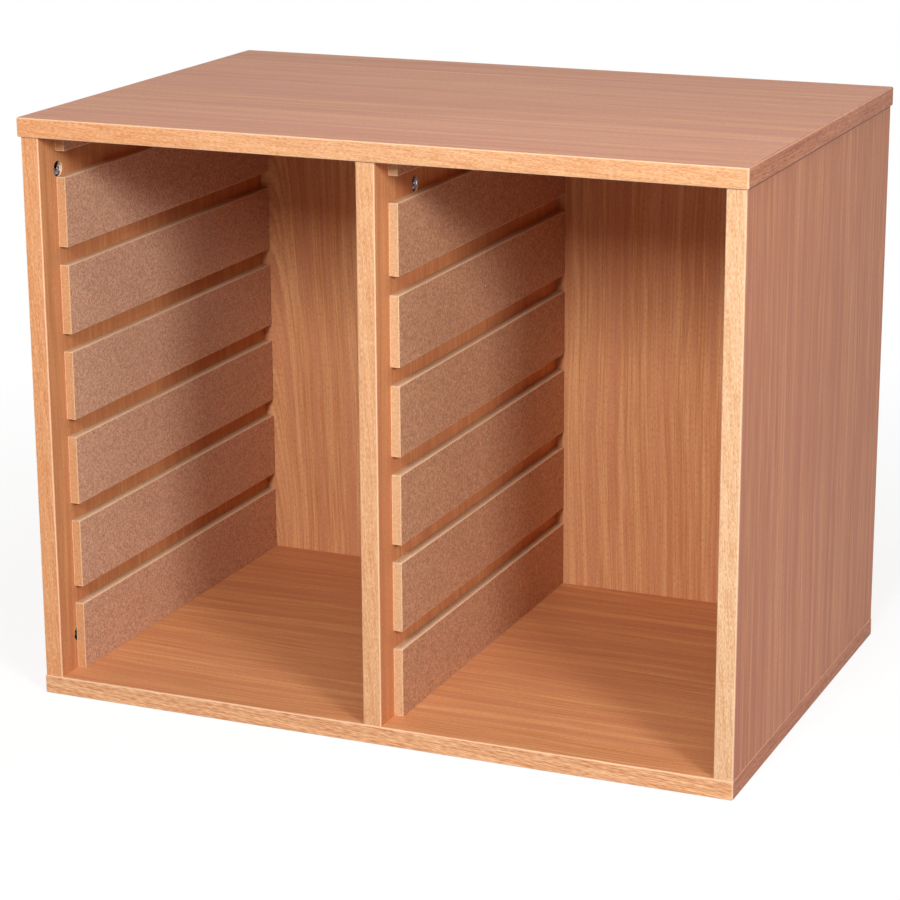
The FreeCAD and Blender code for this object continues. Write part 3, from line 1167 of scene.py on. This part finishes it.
@dataclass
class CamLocks:
    """Die-cast cam drums, seen in their bores.

    Attributes:
        face: relief of a drum's face.
        radius_mm: of the drum.
        height_mm: of the drum.
        recess_mm: depth of its rim below the board's face.
        end_distance_mm: from the panel's end to the drum's middle.
        side_inset_mm: from a side's front and rear to its drums.
        divider_inset_mm: from the divider's front and rear to its drums.
        rim_mm: width and depth of the chamfer round the face.
        first_ring_mm: radius of the face's innermost ring.
        rings: rings on the face.
        around: points round a ring.
    """

    face: DrumFace = DrumFace()
    radius_mm: float = 7.4
    height_mm: float = 12.2
    recess_mm: float = 1.3
    end_distance_mm: float = 34.0
    side_inset_mm: float = 33.0
    divider_inset_mm: float = 88.0
    rim_mm: float = 0.25
    first_ring_mm: float = 0.3
    rings: int = 30
    around: int = 72

    def drum(self, place: Vector, opening: float, outward: float) -> tuple[tuple, np.ndarray]:
        """Builds one drum on a polar grid.

        Point (i, j) lies at radius r_i and angle t_j, sunk by the depth there. The rings then
        run down the drum's side, and over its back to the middle.

        Args:
            place: middle of the bore's mouth on the board's face.
            opening: 1 where the bore opens to +X and -1 where it opens to -X.
            outward: 1 where the bolt comes from above and -1 where it comes from below.

        Returns:
            The closed shell, and each point's share of painted shade: none down to the plate, and
            all of it a millimetre deeper.
        """
        radii = np.linspace(self.first_ring_mm, self.radius_mm - self.rim_mm, self.rings)
        radii = np.append(radii, self.radius_mm)[:, None]
        turn = np.linspace(0.0, 2 * math.pi, self.around, endpoint=False)
        u, v = radii * np.cos(turn), radii * np.sin(turn)
        depth = self.face.depth(u, v)
        depth[-1] = self.rim_mm
        # The back gets two rings, at its edge and halfway to its middle.
        u, v = (np.concatenate([way, way[-1:], way[-1:] / 2]) for way in (u, v))
        depth = np.pad(depth, ((0, 2), (0, 0)), constant_values=self.height_mm)
        rings = np.empty(u.shape + (3,))
        rings[..., 0] = place[0] - opening * (self.recess_mm + depth) * MM
        rings[..., 1] = place[1] + u * MM
        rings[..., 2] = place[2] + outward * v * MM
        centre_depth = self.face.depth(np.zeros(1), np.zeros(1))
        depths = np.concatenate([depth.reshape(-1), centre_depth, [self.height_mm]])
        poles = [np.array([place[0] - opening * (self.recess_mm + deep) * MM, *place[1:]])
                 for deep in depths[-2:]]
        return closed_shell(rings, *poles), np.clip(depths - self.face.plate[0], 0.0, 1.0)

    def build(self) -> None:
        """Builds the twelve drums as one piece, from where the panels are."""
        drums = []
        for board, rear, opening, inset_mm in (
            ("left_side_panel", "left_side_back_edging", 1.0, self.side_inset_mm),
            ("right_side_panel", "right_side_back_edging", -1.0, self.side_inset_mm),
            ("centre_divider", "centre_divider", 1.0, self.divider_inset_mm),
        ):
            low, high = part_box(board)
            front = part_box(board.removesuffix("_panel") + "_front_edging")[0][1]
            x = high[0] if opening > 0 else low[0]
            for y in (front + inset_mm * MM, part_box(rear)[1][1] - inset_mm * MM):
                for end_z, outward in ((low[2], -1.0), (high[2], 1.0)):
                    z = end_z - outward * self.end_distance_mm * MM
                    drums.append(self.drum(Vector((x, y, z)), opening, outward))
        # The drums' pockets are painted near black, as the shade deep in them.
        zinc = Metal("zinc_die_casting", "#DDE3EE", 0.24, 1.5, recess_shade="#1B1D24").build()
        new_piece("cam_lock_drums", [shell for shell, _ in drums], zinc,
                  ["cam_locks"], {"recess": np.concatenate([recess_shade for _, recess_shade in drums])})


@dataclass
class Fasteners:
    """Connecting bolts, dowels and pins, which the boards hide.

    Attributes:
        finishes: each group's node and its finish.
    """

    finishes: tuple[tuple[str, Finish], ...] = (
        ("connecting_bolts", Metal("zinc_plated_steel", "#C3C6CB", 0.30, 1.0)),
        ("runner_pins", Metal("bright_steel_wire", "#8F8B86", 0.40, 0.6)),
        ("wooden_dowels", BeechMelamine("turned_beech", Grain(Axis.Z), None, roughness=0.7)),
    )

    def dress(self) -> None:
        """Gives each group of fasteners its finish."""
        for name, finish in self.finishes:
            dress([name], finish.build())


# ---- Studio ----
@dataclass(frozen=True)
class Lamp:
    """A soft box that looks at the object.

    Attributes:
        name: the lamp's name.
        place: where its middle stands.
        target: the point that it looks at.
        width: its horizontal side.
        height: its other side.
        watts: its power.
        glare: whether it shows in glossy surfaces. A polarising sheet keeps the low lamps from
            whiting out the boards' flat faces.
    """

    name: str
    place: tuple[float, float, float]
    target: tuple[float, float, float]
    width: float
    height: float
    watts: float
    glare: bool = False

    def build(self) -> None:
        """Places the lamp."""
        data = bpy.data.lights.new(self.name, "AREA")
        data.shape = "RECTANGLE"
        data.size = self.width
        data.size_y = self.height
        data.energy = self.watts
        lamp = bpy.data.objects.new(self.name, data)
        back = Vector(self.place) - Vector(self.target)
        lamp.location = self.place
        lamp.rotation_euler = back.to_track_quat("Z", "Y").to_euler()
        lamp.visible_glossy = self.glare
        bpy.context.scene.collection.objects.link(lamp)


@dataclass
class Studio:
    """Camera, lamps, world and floor.

    Attributes:
        lens_mm: focal length.
        sensor_mm: width of the sensor.
        camera_place: where the camera stands.
        camera_azimuth: degrees that the view is turned from straight at the front.
        camera_drop: degrees that the view points down.
        camera_roll: degrees that the camera is rolled.
        floor_half: half of the square floor's side.
        floor_points: points along the floor's side.
        world_strength: of the plain white surround, as light.
        paper: finish of the floor.
        lamps: the soft boxes.
    """

    lens_mm: float = 112.5
    sensor_mm: float = 36.0
    camera_place: tuple[float, float, float] = (1.016, -2.408, 0.977)
    camera_azimuth: float = 23.26
    camera_drop: float = 16.17
    camera_roll: float = -0.32
    floor_half: float = 30.0
    floor_points: int = 3
    world_strength: float = 0.05
    paper: MattPaper = MattPaper("matt_white_paper")
    lamps: tuple[Lamp, ...] = (
        Lamp("front_softbox", (0.38, -2.90, 1.80), (0.0, 0.0, 0.35), 0.80, 0.80, 65.0),
        Lamp("right_softbox", (2.08, -1.81, 1.47), (0.0, -0.1, 0.30), 0.50, 0.50, 37.0),
        Lamp("overhead_softbox", (0.60, -0.90, 2.60), (0.0, 0.0, 0.40), 1.00, 1.00, 18.0,
             glare=True),
        Lamp("rear_softbox", (0.0, 2.90, 0.28), (0.0, 0.0, 0.28), 1.20, 0.50, 50.0),
        Lamp("left_softbox", (-2.85, 0.50, 0.28), (0.0, 0.20, 0.28), 1.10, 0.50, 50.0),
    )

    def camera(self) -> None:
        """Places the camera: yaw about Z, then pitch, then roll about its own axis."""
        data = bpy.data.cameras.new("view")
        data.lens = self.lens_mm
        data.sensor_width = self.sensor_mm
        data.dof.use_dof = False
        camera = bpy.data.objects.new("view", data)
        turn = Matrix.Rotation(math.radians(self.camera_azimuth), 4, "Z")
        tip = Matrix.Rotation(math.radians(90.0 - self.camera_drop), 4, "X")
        roll = Matrix.Rotation(math.radians(self.camera_roll), 4, "Z")
        camera.matrix_world = Matrix.Translation(self.camera_place) @ turn @ tip @ roll
        bpy.context.scene.collection.objects.link(camera)
        bpy.context.scene.camera = camera

    def world(self) -> None:
        """Surrounds the object with white: dim as light, full white where it is seen."""
        world = bpy.data.worlds.new("studio")
        nodes = Nodes.of(world)
        strength = nodes.add("MapRange", {0: nodes.seen_directly(), 3: self.world_strength, 4: 1.0})
        light = nodes.add("Background", {"Color": "#FFFFFF", 1: strength})
        nodes.add("OutputWorld", {0: light})
        bpy.context.scene.world = world

    def floor(self) -> None:
        """Lays a pale paper floor, a square grid at z = 0."""
        count = self.floor_points
        steps = np.linspace(-self.floor_half, self.floor_half, count)
        x, y = np.meshgrid(steps, steps, indexing="ij")
        points = np.stack([x, y, np.zeros_like(x)], axis=-1).reshape(-1, 3)
        corner = (np.arange(count - 1)[:, None] * count + np.arange(count - 1)).reshape(-1)
        faces = np.stack([corner, corner + count, corner + count + 1, corner + 1], axis=-1)
        mesh = bpy.data.meshes.new("paper_floor")
        mesh.from_pydata(points.tolist(), [], faces.tolist())
        mesh.materials.append(self.paper.build())
        floor = bpy.data.objects.new("paper_floor", mesh)
        bpy.context.scene.collection.objects.link(floor)

    def build(self) -> None:
        """Builds the whole studio."""
        self.camera()
        self.world()
        self.floor()
        for lamp in self.lamps:
            lamp.build()
        bpy.context.scene.view_settings.view_transform = "Standard"


def main() -> None:
    """Builds the studio, then the carcass part by part."""
    logging.basicConfig(level=logging.INFO, format="%(name)s: %(message)s")
    Studio().build()
    Boards().dress()
    Edgings().dress()
    RunnerStrips().build()
    StapleCrowns().build()
    CamLocks().build()
    Fasteners().dress()


if __name__ == "__main__":
    main()
